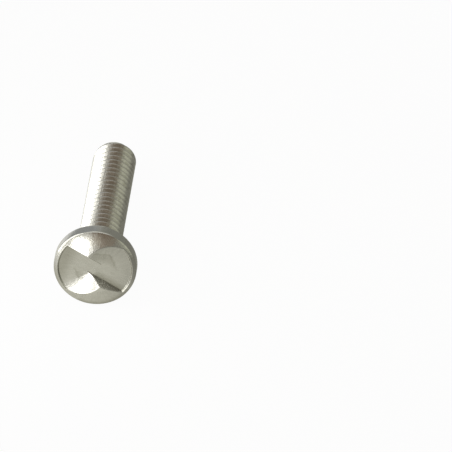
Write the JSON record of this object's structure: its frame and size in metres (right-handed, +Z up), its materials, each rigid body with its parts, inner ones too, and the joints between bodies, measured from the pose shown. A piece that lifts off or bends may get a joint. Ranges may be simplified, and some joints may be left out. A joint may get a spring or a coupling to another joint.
{
  "type": "one-way security screw",
  "caption": "Round-head machine screw with a one-way clutch slot that drives clockwise and cams out anticlockwise; stainless steel, chamfered thread end.",
  "frame": {"origin": "bottom centre of the lying screw's bounding box, on the surface that it rests on", "axes": "+Z up; the screw lies with its thread towards +Y and its head and recess towards -Y; its axis is in the YZ plane and slopes down 5.1 degrees towards the thread end, because the head is wider than the thread"},
  "size_m": [0.012, 0.0355, 0.0121],
  "materials": {
    "steel": "stainless steel, cold formed and tumbled to a soft bright satin"
  },
  "bodies": {
    "root": {"screw": "steel"}
  },
  "joints": []
}
